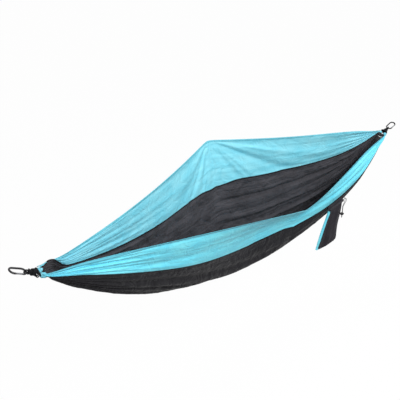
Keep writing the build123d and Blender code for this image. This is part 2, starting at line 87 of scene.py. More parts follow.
# how far the front wall leans in, or out below 0, and how far the curves across keep their direction
BOW_FOOT, BOW_HEAD = 0.118, -0.120
FRONT_WALL, FRONT_FLOOR, BACK_FLOOR, BACK_WALL = 0.8, 0.7, 0.43, 0.34
# the stretch where the front wall leans in, and its bow and curves there
NIP_X, NIP_FOOT_REACH, NIP_HEAD_REACH = 1.810, 0.950, 0.710
NIP_BOW, NIP_WALL, NIP_FLOOR = 0.310, 0.47, 1.25
END_REACH = 0.210                          # from the sleeves to the first full section
RISE_GAIN, LIFT_GAIN = 9.5, 12.2      # bring q * (1 - q) ** 3 and q * (1 - q) ** 4 to 1 at their peaks
CUT_WIDTH, CUT_LENGTH = 1.40, 2.75


class EndFrame:
    """Axes of one gathered end: x from the anchor to the cloth, y to the back side."""

    def __init__(self, end):
        slope, run = radians(SLOPES[end]), -1 if end == "head" else 1
        self.name = end
        self.x = np.array([run * cos(slope), 0, -sin(slope)])
        over = np.array([run * sin(slope), 0, cos(slope)])
        self.y = np.array([0, 1, 0]) * cos(radians(ROLL)) + over * sin(radians(ROLL))
        self.z = np.cross(self.x, self.y)
        self.origin = np.array([SPAN if end == "head" else 0.0, 0.0, 0.0])

    def at(self, x, y, z):
        return self.origin + self.x * x + self.y * y + self.z * z

    def all(self, points):
        return [self.at(*p) for p in points]


FOOT, HEAD = EndFrame("foot"), EndFrame("head")
foot_start, head_start = FOOT.at(LEG_START, 0, 0), HEAD.at(LEG_START, 0, 0)


def smooth(t):
    """Soft step from 0 to 1."""
    t = np.clip(t, 0.0, 1.0)
    return t * t * (3 - 2 * t)


def mix(a, b, t):
    return a + (b - a) * t


def back_edge(x, rounding):
    """Across and up at one x of the edge that is pulled out and up to a peak."""
    def from_end(end, sag, pull, lift):
        run = abs(PEAK[0] - end[0])
        q = max(0.0, 1 - hypot(x - PEAK[0], rounding) / hypot(run, rounding))
        bow, end_bow = 4 * q * (1 - q), LIFT_GAIN * q * (1 - q) ** 4
        y = BEND + (PEAK[1] - BEND) * q - pull * bow
        return np.array([y, end[2] + (PEAK[2] - end[2]) * q - sag * bow + lift * end_bow])
    headward = smooth((x - PEAK[0]) / (2 * rounding) + 0.5)
    from_foot = from_end(foot_start, BACK_FOOT_SAG, 0, 0)
    from_head = from_end(head_start, 0, BACK_HEAD_PULL, BACK_HEAD_LIFT)
    return mix(from_foot, from_head, headward)


def front_edge(x):
    """Across and up at one x of the edge that hangs down to a kink."""
    if x < KINK[0]:
        q = max(0.0, (x - foot_start[0]) / (KINK[0] - foot_start[0]))
        z = foot_start[2] + (KINK[2] - foot_start[2]) * q + FRONT_RISE * RISE_GAIN * q * (1 - q) ** 3
    else:
        q = max(0.0, (head_start[0] - x) / (head_start[0] - KINK[0]))
        z = head_start[2] + (KINK[2] - head_start[2]) * mix(q, smooth(q), FRONT_CURVE)
    return -BEND + (KINK[1] + BEND) * smooth(q), z


def section(x):
    """Control points of the two cubic curves that the cloth follows across the hammock at one x."""
    end = foot_start if x < KEEL[0] else head_start
    off = min(1.0, abs(x - KEEL[0]) / abs(KEEL[0] - end[0]))
    full = 1 - off ** KEEL_POWERS[0 if x < KEEL[0] else 1]
    nip = smooth(1 - (NIP_X - x) / NIP_FOOT_REACH) if x < NIP_X else smooth(1 - (x - NIP_X) / NIP_HEAD_REACH)
    bow = mix(mix(BOW_FOOT, BOW_HEAD, smooth((x - KEEL[0]) / (KINK[0] - KEEL[0]))), NIP_BOW, nip)
    wall, floor = mix(FRONT_WALL, NIP_WALL, nip), mix(FRONT_FLOOR, NIP_FLOOR, nip)
    yk = KEEL[1] * (1 - off ** KEEL_POWERS[2])
    zk = end[2] - BEND + (KEEL[2] - end[2] + BEND) * full
    yf, zf = front_edge(x)
    yb, zb = back_edge(x, PEAK_ROUND)
    ys, zs = back_edge(x, PEAK_SPREAD)
    reach = max(ys - yk, BEND)
    front = [(yf, zf), (yf + bow * full, zf - (zf - zk) * wall), (yk - (yk - yf) * floor, zk), (yk, zk)]
    back = [(yk, zk), (yk + reach * BACK_FLOOR, zk), (ys, zs - (zs - zk) * BACK_WALL), (yb, zb)]
    return np.array([[(x, y, z) for y, z in half] for half in (front, back)])


def end_section(plane):
    """The same, where the cloth meets the bend of its sleeve."""
    reach = CHANNEL_R + HEM_THICK / 2 + GAP
    edge, middle = BEND + reach, BEND + reach * sqrt(0.5)
    drop = reach * sqrt(0.5) * (-1 if plane.z[2] > 0 else 1)
    bow = 4 / 3 * (sqrt(2) - 1)
    front = [(-LEG, -middle, -drop), (middle * bow, -edge * 1.1, -drop * bow),
             (middle, -edge * bow, drop), (middle, 0, drop)]
    back = [(a, -b, c) for a, b, c in reversed(front)]
    return np.array([[plane.at(BEND_X + a, b, c) for a, b, c in half] for half in (front, back)])


def opening_section(plane, share):
    """Part of the way from a gathered end to the first full section."""
    at_head = plane is HEAD
    x, step = (head_start[0] - END_REACH, -0.008) if at_head else (foot_start[0] + END_REACH, 0.008)
    p0, p1, p2 = end_section(plane), section(x), section(x + step)
    lead = (p1 - p0) / np.linalg.norm(p1 - p0, axis=2, keepdims=True)
    m0, m1 = (plane.x + lead) * (END_REACH * 0.3), (p2 - p1) * (END_REACH / abs(step))
    t2, t3 = share ** 2, share ** 3
    return p0 * (2 * t3 - 3 * t2 + 1) + m0 * (t3 - 2 * t2 + share) + p1 * (3 * t2 - 2 * t3) + m1 * (t3 - t2)


FINE = 480            # samples across the whole cloth
OPENING_ROWS = 34
MIDDLE_ROWS = 270


def hung_rows():
    """Every row of the cloth from foot to head: points across at even cut widths, and how open it is."""
    first, last = foot_start[0] + END_REACH, head_start[0] - END_REACH
    shares = np.linspace(0, 1, OPENING_ROWS, endpoint=False)
    controls = [opening_section(FOOT, t) for t in shares]
    xs = np.linspace(first, last, MIDDLE_ROWS)
    near = PEAK[0] + PEAK_ROUND * np.array([-2.2, -1.1, -0.5, -0.2, 0.0, 0.2, 0.5, 1.1, 2.2])
    xs = np.sort(np.concatenate([xs[np.abs(xs - PEAK[0]) > PEAK_ROUND * 2.6], near]))
    controls += [section(x) for x in xs] + [opening_section(HEAD, t) for t in shares[::-1]]
    t = np.linspace(0, 1, 161)[:, None]
    basis = ((1 - t) ** 3, 3 * (1 - t) ** 2 * t, 3 * (1 - t) * t * t, t ** 3)
    rows, widths = [], []
    even = np.linspace(0, 1, FINE + 1)
    for front, back in controls:
        front_half, back_half = (sum(b * p for b, p in zip(basis, half)) for half in (front, back))
        line = np.concatenate([front_half, back_half[1:]])
        run = np.concatenate([[0], np.cumsum(np.linalg.norm(np.diff(line, axis=0), axis=1))])
        rows.append(np.stack([np.interp(even * run[-1], run, line[:, k]) for k in range(3)], 1))
        widths.append(run[-1])
    return np.array(rows), np.array(widths)


def normals_of(grid):
    """Unit normals of a grid of points."""
    along, across = np.gradient(grid, axis=0), np.gradient(grid, axis=1)
    n = np.cross(across, along)
    return n / np.maximum(np.linalg.norm(n, axis=2, keepdims=True), 1e-12)


HUNG, WIDTHS = hung_rows()
OUTWARD = normals_of(HUNG)
if OUTWARD[len(OUTWARD) // 2, FINE // 2, 2] > 0:
    OUTWARD = -OUTWARD
ALONG = np.concatenate([[0], np.cumsum(np.linalg.norm(np.diff(HUNG[:, FINE // 2], axis=0), axis=1))])
TO_END = np.minimum(ALONG, ALONG[-1] - ALONG)         # running distance from the nearer sleeve
SHARES = np.linspace(0, 1, FINE + 1)


# ---------------------------------------------------------------- folds of the cloth
def lattice(ix, iy, seed):
    """A fixed number from 0 to 1 for each whole place of a grid."""
    v = np.sin(ix * 127.1 + iy * 311.7 + seed * 74.7) * 43758.5453
    return v - np.floor(v)


def ripple(x, y, seed):
    """Smooth noise from -1 to 1, one swell for each unit of x and y."""
    ix, iy = np.floor(x), np.floor(y)
    fx, fy = smooth(x - ix), smooth(y - iy)
    low = mix(lattice(ix, iy, seed), lattice(ix + 1, iy, seed), fx)
    high = mix(lattice(ix, iy + 1, seed), lattice(ix + 1, iy + 1, seed), fx)
    return mix(low, high, fy) * 2 - 1


def crease(x, y, seed, sharp=2.0):
    """Noise with narrow ridges, from 0 to 1."""
    return (1 - np.abs(ripple(x, y, seed))) ** sharp


def window(x, low, high, soft):
    """1 from low to high, with a step of the breadth soft to 0 at both."""
    return smooth((x - low) / soft + 0.5) * (1 - smooth((x - high) / soft + 0.5))


def pleat(phase):
    """A pleat with a rounded top and a tighter valley."""
    return np.sin(phase) * 0.8 + 0.2 * np.sin(2 * phase + 0.7)


# how many pleats across, how far the cloth is open where they come and go, their gain and their seed
PLEATS = ((46, -0.2, 0.42, 0.8, 5), (30, -0.2, 0.60, 1.0, 3),
          (15, 0.30, 0.80, 0.8, 11), (8, 0.45, 1.00, 0.5, 23))
MOST_PLEAT = 0.0115           # the largest swing of a pleat before its gain
# folds from the peak: direction in radians, breadth, depth, and how far from the peak they start and end
PEAK_FOLDS = ((1.10, 0.065, -0.014, 0.10, 0.80), (0.72, 0.05, -0.007, 0.08, 0.5),
              (0.05, 0.035, 0.006, 0.03, 0.42), (-0.42, 0.045, 0.006, 0.05, 0.45),
              (-0.80, 0.06, -0.008, 0.06, 0.6), (1.32, 0.04, 0.006, 0.2, 0.9))
PEAK_SWELL, PEAK_RAYS = 0.22, 13
# long folds: share across the cloth, seed, depth
INNER_FOLDS = ((0.72, 71, 0.024), (0.64, 73, 0.018), (0.55, 79, 0.022), (0.46, 83, 0.018))
BELLY_CREASES = ((0.275, 127, 0.014), (0.335, 131, 0.024))


SHARE = np.broadcast_to(SHARES[None, :], HUNG.shape[:2])       # across, from the front edge
RUN = np.broadcast_to(ALONG[:, None], SHARE.shape)             # along, from the foot's sleeve
FAR = np.broadcast_to(TO_END[:, None], SHARE.shape)            # from the nearer sleeve
MIDDLE = window(SHARE, 0.20, 0.80, 0.10)
FRONT, BACK = 1 - smooth((SHARE - 0.16) / 0.06), smooth((SHARE - 0.80) / 0.05)


def pleats():
    """Pleats, more and steeper where the cloth is gathered and few where it lies open."""
    width = WIDTHS[:, None]
    excess = np.maximum(CUT_WIDTH / width, 1.0)
    steep = np.sqrt(np.maximum(excess ** 2 - 1, 0)) / 0.66
    for count, low, high, gain, seed in PLEATS:
        drift = 0.34 * ripple(SHARE * count * 0.45, RUN * 1.3, seed)
        drift += 0.12 * ripple(SHARE * count, RUN * 3.0, seed + 1)
        height = np.minimum(width / count * steep / (2 * pi), MOST_PLEAT) * gain
        height = height * window(width / WIDTHS.max(), low, high, 0.25) * smooth(FAR / 0.05 + 0.12)
        height = height * (0.62 + 0.38 * ripple(SHARE * count * 0.5, RUN * 2.2, seed + 2))
        height = height * (0.9 * MIDDLE + 0.81 * FRONT + 0.5 * BACK)
        yield height * pleat(2 * pi * (count * SHARE + drift))


def slack_cloth():
    """Streaks that run with the pull of the two ends, broad swells, and crinkles from the sack."""
    reach = smooth((FAR - 0.02) / 0.25)
    yield 0.0026 * ripple(SHARE * 34, RUN * 1.5, 31) * reach * (0.6 + 0.6 * FRONT)
    yield 0.0016 * ripple(SHARE * 78, RUN * 3.1, 37) * reach * (0.6 + 0.4 * FRONT)
    yield 0.0055 * ripple(SHARE * 7, RUN * 2.6, 41) * smooth((FAR - 0.25) / 0.4) * MIDDLE
    crumple = crease(SHARE * 24 + RUN * 3, RUN * 13, 47, 3.0) - 0.3
    fine_crumple = crease(SHARE * 40 - RUN * 5, RUN * 22 + SHARE * 9, 53, 3.0) - 0.3
    slack = 0.2 + 0.8 * MIDDLE * (0.3 + 0.7 * smooth((SHARE - 0.40) / 0.10))
    yield (0.0030 * crumple + 0.0018 * fine_crumple) * smooth((FAR - 0.15) / 0.3) * slack


def peak_folds():
    """Folds that spread from the point where the back edge is pulled out."""
    along, down = HUNG[:, :, 0] - PEAK[0], (1 - SHARE) * WIDTHS[:, None] + 0.004
    r, turn = np.hypot(along, down), np.arctan2(along, down)
    swell = (r / PEAK_SWELL) * np.exp(1 - r / PEAK_SWELL) * smooth((1 - SHARE) / 0.012)
    fan = np.cos(turn * PEAK_RAYS + 1.1 * ripple(turn * 2.1, r * 2.5, 61))
    fan = fan * (0.55 + 0.45 * ripple(turn * 3, r * 1.5, 67))
    reach_back = smooth((SHARE - 0.62) / 0.2)
    yield 0.0085 * swell * fan * reach_back
    for angle, breadth, depth, start, end in PEAK_FOLDS:
        line = np.exp(-(((turn - angle - 0.10 * r) / breadth) ** 2))
        yield -depth * line * window(r, start, end, 0.18) * reach_back


def long_folds():
    """Folds that curve through the dark panel towards the head, and creases under the belly."""
    near_head = window(RUN, ALONG[-1] * 0.55, ALONG[-1] * 0.93, 0.4)
    for place, seed, depth in INNER_FOLDS:
        line = SHARE - place - 0.02 * ripple(RUN * 1.8, place * 9, seed)
        yield depth * np.exp(-((line / 0.013) ** 2)) * near_head * np.sign(sin(seed))
    at_belly = window(RUN, ALONG[-1] * 0.22, ALONG[-1] * 0.66, 0.5)
    for place, seed, depth in BELLY_CREASES:
        line = SHARE - place - 0.012 * ripple(RUN * 1.4, place * 9, seed)
        yield -depth * np.exp(-((line / 0.016) ** 2)) * at_belly


def fold_heights():
    """How far the cloth stands out from its hung shape, positive outward, for every row and sample."""
    total = sum((*pleats(), *slack_cloth(), *peak_folds(), *long_folds()), np.zeros_like(SHARE))
    edge_calm = np.minimum(smooth(SHARE / 0.02), smooth((1 - SHARE) / 0.02)) * 0.75 + 0.25
    at_front_seam = np.exp(-(((SHARE - SIDE_SHARE) / 0.022) ** 2))
    at_back_seam = np.exp(-(((SHARE - 1 + SIDE_SHARE) / 0.016) ** 2))
    return total * edge_calm * (1 - 0.65 * (at_front_seam + at_back_seam))


FOLDS = fold_heights()
LIFTED = HUNG + OUTWARD * (CLOTH / 2 + FOLDS)[:, :, None]
# at the foot the centre panel's bunched cloth stands up behind the sleeve and hides the back panel
BY_SLEEVE = np.exp(-(((ALONG - 0.080) / 0.058) ** 2))
stands_up = BY_SLEEVE[:, None] * window(SHARES, 0.66, 0.955, 0.07)[None, :]
rolled_under = BY_SLEEVE[:, None] * smooth((SHARES - 0.93) / 0.05)[None, :]
LIFTED += stands_up[..., None] * (0.0, 0.004, 0.018) + rolled_under[..., None] * (0.0, 0.012, -0.004)
LIFTED_OUT = normals_of(LIFTED)
if LIFTED_OUT[len(LIFTED_OUT) // 2, FINE // 2, 2] > 0:
    LIFTED_OUT = -LIFTED_OUT


# ---------------------------------------------------------------- mesh helpers
def add_object(name, mesh, body, slot, replaces=()):
    """Piece that rides on a body, with a finish's slot, in the place of the solids it replaces."""
    thing = bpy.data.objects.new(name, mesh)
    bpy.context.collection.objects.link(thing)
    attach(thing, body)
    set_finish(thing, slot)
    if replaces:
        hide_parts(*replaces)
    return thing


def mesh_of(name, points, faces, uvs=None, outside=None):
    """Mesh with smooth faces; uvs holds one pair for each point, in metres of cloth or cord."""
    mesh = bpy.data.meshes.new(name)
    mesh.from_pydata([tuple(p) for p in points], [], faces)
    if uvs is not None:
        layer = mesh.uv_layers.new(name="cut")
        index = np.empty(len(mesh.loops), dtype=np.int32)
        mesh.loops.foreach_get("vertex_index", index)
        layer.data.foreach_set("uv", np.asarray(uvs, dtype=np.float32)[index].ravel())
    if outside is not None:
        mesh.attributes.new("outside", "FLOAT", "POINT").data.foreach_set("value", outside)
    mesh.polygons.foreach_set("use_smooth", [True] * len(mesh.polygons))
    mesh.update()
    return mesh


def cloth_shell(name, grid, out, thick, uv, body, slot, replaces=()):
    """Closed thin solid on a grid of points: thick is one number or one for each point."""
    n, m = grid.shape[:2]
    half = (np.asarray(thick) / 2)[..., None]
    points = np.concatenate([(grid + out * half).reshape(-1, 3), (grid - out * half).reshape(-1, 3)])
    uvs = np.concatenate([uv.reshape(-1, 2)] * 2)
    place = np.arange(n * m).reshape(n, m)
    a, b, c, d = place[:-1, :-1], place[:-1, 1:], place[1:, 1:], place[1:, :-1]
    quads = np.stack([a, b, c, d], -1).reshape(-1, 4)
    faces = [quads[:, ::-1], quads + n * m]
    rim = np.concatenate([place[0], place[1:, -1], place[-1][::-1][1:], place[:, 0][::-1][1:-1]])
    rim_next = np.roll(rim, -1)
    faces.append(np.stack([rim, rim_next, rim_next + n * m, rim + n * m], -1))
    outside = np.repeat([1.0, 0.0], n * m).astype(np.float32)
    mesh = mesh_of(name, points, np.concatenate(faces).tolist(), uvs, outside)
    return add_object(name, mesh, body, slot, replaces)


def across_rows(low, high, count):
    """Grid of cloth between two widths from the front edge, given for every row in metres."""
    places = low[:, None] + (high - low)[:, None] * np.linspace(0, 1, count)[None, :]
    share = places / WIDTHS[:, None] * FINE
    k = np.clip(np.floor(share).astype(int), 0, FINE - 1)
    t = (share - k)[..., None]
    row = np.arange(len(WIDTHS))[:, None]

    def pick(field):
        return field[row, k] * (1 - t) + field[row, k + 1] * t
    along = np.broadcast_to(ALONG[:, None] / ALONG[-1] * CUT_LENGTH, places.shape)
    uv = np.stack([along, places / WIDTHS[:, None] * CUT_WIDTH], -1)
    return pick(LIFTED), pick(LIFTED_OUT), uv


# hems and seams are narrower in the sleeves, and the peak pulls the back seam away from the edge
OPENED = np.ones(len(WIDTHS))
OPENED[:OPENING_ROWS] = smooth(np.linspace(0, 1, OPENING_ROWS, endpoint=False))
OPENED[-OPENING_ROWS:] = OPENED[:OPENING_ROWS][::-1]
bunch = TRIM + (1 - TRIM) * OPENED
pulled = PEAK_STRETCH * np.exp(-(((HUNG[:, FINE, 0] - PEAK[0]) / STRETCH_REACH) ** 2))
front_line, back_line = SIDE_SHARE * WIDTHS, (1 - SIDE_SHARE + 0.13 * BY_SLEEVE) * WIDTHS - pulled
hem_w, seam_w = HEM * bunch, SEAM * bunch / 2
tuck = 0.002 * bunch           # how far each panel runs in under its hem or seam
SHEET_THICK, BAND_THICK, BAND_COLUMNS = 0.0008, 0.0030, 9

for name, low, high, count, slot in (
        ("front_side_panel", hem_w - tuck, front_line - seam_w + tuck, 76, "light_cloth"),
        ("centre_panel", front_line + seam_w - tuck, back_line - seam_w + tuck, 210, "dark_cloth"),
        ("back_side_panel", back_line + seam_w - tuck, WIDTHS - hem_w + tuck, 84, "light_cloth")):
    grid, out, uv = across_rows(low, high, count)
    cloth_shell(name + "_cloth", grid, out, SHEET_THICK, uv, "hammock", slot, (name,))


def sewn_band(name, low, high, slot, node, puff):
    """Folded band of cloth, thinner at its two sewn sides, gently puckered by the thread."""
    grid, out, uv = across_rows(low, high, BAND_COLUMNS)
    across = np.linspace(0, 1, BAND_COLUMNS)
    round_off = np.sqrt(np.clip(1 - (np.abs(across - 0.5) * 2) ** 4, 0, 1)) * 0.75 + 0.25
    pucker = 1 + puff * np.sin(ALONG / 0.011 * 2 * pi + 2 * ripple(ALONG * 9, ALONG * 0, 91))
    thick = BAND_THICK * round_off[None, :] * pucker[:, None]
    return cloth_shell(name, grid, out, thick, uv, "hammock", slot, (node,))


no_width, half_gap = np.zeros_like(WIDTHS), GAP / 2
for name, low, high, slot, node, puff in (
        ("front_hem_fold", no_width + 0.0002, hem_w - half_gap, "light_cloth", "front_edge_hem", 0.10),
        ("back_hem_fold", WIDTHS - hem_w + half_gap, WIDTHS - 0.0002, "light_cloth", "back_edge_hem", 0.10),
        ("front_felled_seam", front_line - seam_w + half_gap, front_line + seam_w - half_gap,
         "dark_cloth", "front_seam", 0.12),
        ("back_felled_seam", back_line - seam_w + half_gap, back_line + seam_w - half_gap,
         "dark_cloth", "back_seam", 0.12)):
    sewn_band(name, low, high, slot, node, puff)


# ---------------------------------------------------------------- cords
def route_curve(name, points, closed=False):
    """Points along the smooth NURBS line of a cord's route."""
    curve = bpy.data.curves.new(name, "CURVE")
    curve.dimensions = "3D"
    curve.resolution_u = 14
    spline = curve.splines.new("NURBS")
    spline.points.add(len(points) - 1)
    for target, point in zip(spline.points, points):
        target.co = (*point, 1.0)
    spline.order_u = 3
    spline.use_cyclic_u = closed
    spline.use_endpoint_u = not closed
    holder = bpy.data.objects.new(name, curve)
    bpy.context.collection.objects.link(holder)
    mesh = bpy.data.meshes.new_from_object(holder)
    line = np.array([v.co[:] for v in mesh.vertices])
    bpy.data.objects.remove(holder)
    bpy.data.curves.remove(curve)
    bpy.data.meshes.remove(mesh)
    return line


def even_line(line, step, closed=False):
    """The same line with its points about one step apart, and its length."""
    if closed:
        line = np.concatenate([line, line[:1]])
    run = np.concatenate([[0], np.cumsum(np.linalg.norm(np.diff(line, axis=0), axis=1))])
    count = max(4, int(round(run[-1] / step)))
    even = np.linspace(0, run[-1], count + 1)
    out = np.stack([np.interp(even, run, line[:, k]) for k in range(3)], 1)
    return (out[:-1] if closed else out), run[-1]


def carried_frames(line, closed=False):
    """Two cross directions at every point, turned along the line without twisting."""
    ahead = np.roll(line, -1, 0) - np.roll(line, 1, 0)
    if not closed:
        ahead[0], ahead[-1] = line[1] - line[0], line[-1] - line[-2]
    ahead /= np.linalg.norm(ahead, axis=1, keepdims=True)
    side = np.cross(ahead[0], (0.1, 0.3, 0.95))
    sides = []
    for a in ahead:
        side = side - a * side.dot(a)
        side = side / np.linalg.norm(side)
        sides.append(side)
    sides = np.array(sides)
    if closed:                       # spread the closing error evenly
        last = sides[-1] - ahead[0] * sides[-1].dot(ahead[0])
        last /= np.linalg.norm(last)
        off = atan2(np.cross(last, sides[0]).dot(ahead[0]), last.dot(sides[0]))
        turn = np.linspace(0, off, len(line))[:, None]
        sides = sides * np.cos(turn) + np.cross(ahead, sides) * np.sin(turn)
    return sides, np.cross(ahead, sides)


def rings_of(line, one, two, radius, angle):
    """A ring of points round every point of a line."""
    to_one, to_two = (radius * np.cos(angle))[..., None], (radius * np.sin(angle))[..., None]
    return line[:, None] + one[:, None] * to_one + two[:, None] * to_two


def ring_uvs(run, girth):
    """Places on the cloth or cord, along it and round it, for every point of every ring."""
    return np.stack(np.broadcast_arrays(run[:, None], girth[None, :]), -1)


def add_tube(name, rings, uv, body, slot, replaces=(), closed=False, turned=False):
    """Skin over rings of points, capped at both ends unless it runs round to its start."""
    count, sides = rings.shape[:2]
    place = np.arange(count * sides).reshape(count, sides)
    rows = np.concatenate([place, place[:1]]) if closed else place
    a, b = rows[:-1], rows[1:]
    corners = [a, np.roll(a, -1, 1), np.roll(b, -1, 1), b]
    caps = [] if closed else [place[0][::-1], place[-1]]
    if turned:
        corners, caps = corners[:1] + corners[:0:-1], [cap[::-1] for cap in caps]
    faces = np.stack(corners, -1).reshape(-1, 4).tolist() + [cap.tolist() for cap in caps]
    mesh = mesh_of(name, rings.reshape(-1, 3), faces, uv.reshape(-1, 2))
    return add_object(name, mesh, body, slot, replaces)


def braided_tube(name, line, radius, body, slot, replaces=(), closed=False,
                 sides=20, strands=8, relief=0.07, step=0.0011):
    """Round braided cord: two sets of strands cross over each other round the tube."""
    line, length = even_line(line, step, closed)
    one, two = carried_frames(line, closed)
    count = len(line)
    run = np.arange(count) * length / (count if closed else count - 1)
    angle = np.linspace(0, 2 * pi, sides, endpoint=False)
    lay = radius * 5.2
    left = np.sin(strands * angle[None, :] / 2 + run[:, None] / lay * 2 * pi * strands / 2)
    right = np.sin(strands * angle[None, :] / 2 - run[:, None] / lay * 2 * pi * strands / 2)
    r = radius * (1 - relief + relief * np.maximum(left, right))
    rings = rings_of(line, one, two, r, angle)
    return add_tube(name, rings, ring_uvs(run, angle * radius), body, slot, replaces, closed)


CLIP_END = 0.066
EYE, STRAND, END_CORD_R = 0.0072, 0.0033, 0.003
EYE_END, EYE_SHUT = CLIP_END + 0.006, 0.080            # the loop's eye narrows between these two
FORK, FORKED = 0.1051, 0.1165                          # and its strands part between these two
WRAP_R, WRAP_START, WRAP_PITCH = 0.0024, 0.0745, 0.0044
WRAP_LOWER, WRAP_UPPER = 9.2, 6.0                      # turns in each layer of the whipping


def end_cord(end):
    """The loop of cord that runs through the clip and the sleeve."""
    near = [(CLIP_END - EYE, 0, -EYE), (CLIP_END - EYE, 0, EYE), (EYE_END, 0, EYE),
            (EYE_SHUT, 0, STRAND), (0.0925, 0, STRAND), (FORK, 0, STRAND),
            (FORKED, -BEND, 0), (0.134, -BEND, 0), (BEND_X + BEND, -BEND, 0)]
    route = near + [(x, -y, -z) for x, y, z in reversed(near[2:])]
    line = route_curve(end.name + "_route", end.all(route), closed=True)
    braided_tube(end.name + "_braided_cord", line, END_CORD_R, "hammock", "cord",
                 (end.name + "_end_cord",), closed=True)


def whipping(end):
    """A cord wound round both strands of the loop in two layers."""
    wound = []
    for k in np.linspace(0, WRAP_LOWER + WRAP_UPPER, 620):
        over = smooth((k - WRAP_LOWER) * 2.5)
        x = WRAP_START + WRAP_PITCH * (k if k < WRAP_LOWER else WRAP_LOWER - (k - WRAP_LOWER))
        y_spread = np.interp(x, (FORK, FORKED), (0, BEND))
        z_spread = np.interp(x, (EYE_END, EYE_SHUT), (EYE, STRAND))
        a = 2 * pi * k + 0.8
        reach = (0.0032 + WRAP_R + 1.7 * WRAP_R * over) * (1.0 + 0.05 * sin(5.3 * k + 1))
        y = reach * cos(a) + y_spread * np.tanh(3.2 * cos(a))
        wound.append(end.at(x, y, reach * sin(a) + z_spread * np.tanh(3.2 * sin(a))))
    braided_tube(end.name + "_wound_whipping", np.array(wound), WRAP_R, "hammock", "cord",
                 (end.name + "_cord_whipping",), sides=14, strands=6)


for end in (FOOT, HEAD):
    end_cord(end)
    whipping(end)


# ---------------------------------------------------------------- puckered sleeves
SLEEVE_R, SLEEVE_SIDES, SLEEVE_HALF = 0.0096, 40, 0.0005


def puckered_sleeve(end):
    """The cloth gathered on the bend of the loop, a piece for each side panel and one for the centre."""
    t = np.linspace(-pi / 2, pi / 2, 61)
    arc = np.stack([BEND_X + BEND * np.cos(t), BEND * np.sin(t), 0 * t], 1)
    leg = np.linspace(LEG_START, BEND_X, 14, endpoint=False)
    near, far = (np.stack([leg, 0 * leg + y, 0 * leg], 1) for y in (-BEND, BEND))
    line, _ = even_line(np.array(end.all(np.concatenate([near, arc, far[::-1]]))), 0.00045)
    one, two = carried_frames(line)
    run = np.linspace(0, 1, len(line))
    angle = np.linspace(0, 2 * pi, SLEEVE_SIDES, endpoint=False)
    wander = 1.5 * ripple(run[:, None] * 7, angle[None, :] * 0.9, 5)
    phase = run[:, None] * 17 * 2 * pi + wander + 0.9 * np.sin(angle * 2)[None, :]
    ends_in = np.minimum(smooth(run / 0.06), smooth((1 - run) / 0.06))[:, None]
    r = SLEEVE_R + 0.0013 * np.sin(phase) + 0.0005 * ripple(run[:, None] * 30, angle[None, :] * 3, 9)
    rings = rings_of(line, one, two, r * (0.72 + 0.28 * ends_in), angle)
    out = one[:, None] * np.cos(angle)[None, :, None] + two[:, None] * np.sin(angle)[None, :, None]
    uv = ring_uvs(run * CUT_WIDTH, angle * 0.009)
    bounds = [0, int(len(line) * 0.27), int(len(line) * 0.73), len(line) - 1]
    parts = (("front", "light_cloth"), ("centre", "dark_cloth"), ("back", "light_cloth"))
    for (part, slot), first, last in zip(parts, bounds, bounds[1:]):
        piece, o, tex = rings[first:last + 1], out[first:last + 1], uv[first:last + 1]
        points = np.concatenate([(piece + o * side).reshape(-1, 3) for side in (SLEEVE_HALF, -SLEEVE_HALF)])
        shift = len(piece) * SLEEVE_SIDES
        place = np.arange(shift).reshape(-1, SLEEVE_SIDES)
        a, b = place[:-1], place[1:]
        quads = np.stack([a, np.roll(a, -1, 1), np.roll(b, -1, 1), b], -1).reshape(-1, 4)
        rims = [np.stack([row, np.roll(row, -1), np.roll(row, -1) + shift, row + shift], -1)
                for row in (place[0][::-1], place[-1])]
        faces = np.concatenate([quads, quads[:, ::-1] + shift, *rims]).tolist()
        name = f"{end.name}_{part}_sleeve"
        mesh = mesh_of(name, points, faces, np.concatenate([tex.reshape(-1, 2)] * 2))
        add_object(name, mesh, "hammock", slot, (f"{end.name}_end_channel",))


puckered_sleeve(FOOT)
puckered_sleeve(HEAD)


# ---------------------------------------------------------------- stuff sack
# in its own axes: x to the head, y up, z to the front
def seam_face(x):
    """Outer face of the front seam at one x."""
    k = SIDE_SHARE * FINE
    low = int(k)
    line = mix(HUNG[:, low], HUNG[:, low + 1], k - low)
    out = mix(OUTWARD[:, low], OUTWARD[:, low + 1], k - low)
    rows = slice(OPENING_ROWS, len(line) - OPENING_ROWS)
    return np.array([np.interp(x, line[rows, 0], (line + out * SEAM_THICK)[rows, j]) for j in range(3)])


SACK_X, SACK_RUN, STANDOFF = 2.137, 0.092, 0.0175
DROP_FOOT, DROP_HEAD, LEAN_FOOT, LEAN_HEAD = 0.302, 0.302, 0.071, 0.020
mouth_foot, mouth_head = seam_face(SACK_X), seam_face(SACK_X + SACK_RUN)
level = mouth_head - mouth_foot
MOUTH_RUN, MOUTH_RISE = hypot(level[0], level[1]), level[2]
MOUTH = hypot(MOUTH_RUN, MOUTH_RISE)
SACK_ALONG = np.array([level[0], level[1], 0]) / MOUTH_RUN
SACK_FRONT = np.array([SACK_ALONG[1], -SACK_ALONG[0], 0])
SACK_ORIGIN = mouth_foot + SACK_FRONT * STANDOFF
UP = np.array([0, 0, 1.0])
SPREAD, HEM_Z, HEM_HIGH, BORE_UP = 0.009, 0.003, 0.020, -0.008


def in_sack(points):
    """Places in the hammock's own axes of points of the sack."""
    points = np.asarray(points, float)
    return SACK_ORIGIN + points[..., :1] * SACK_ALONG + points[..., 1:2] * UP + points[..., 2:] * SACK_FRONT


def along_mouth(x, up, z):
    """A point of the sack from its place along and above the slanting mouth."""
    c, s = MOUTH_RUN / MOUTH, MOUTH_RISE / MOUTH
    return (x * c - up * s, x * s + up * c, z)


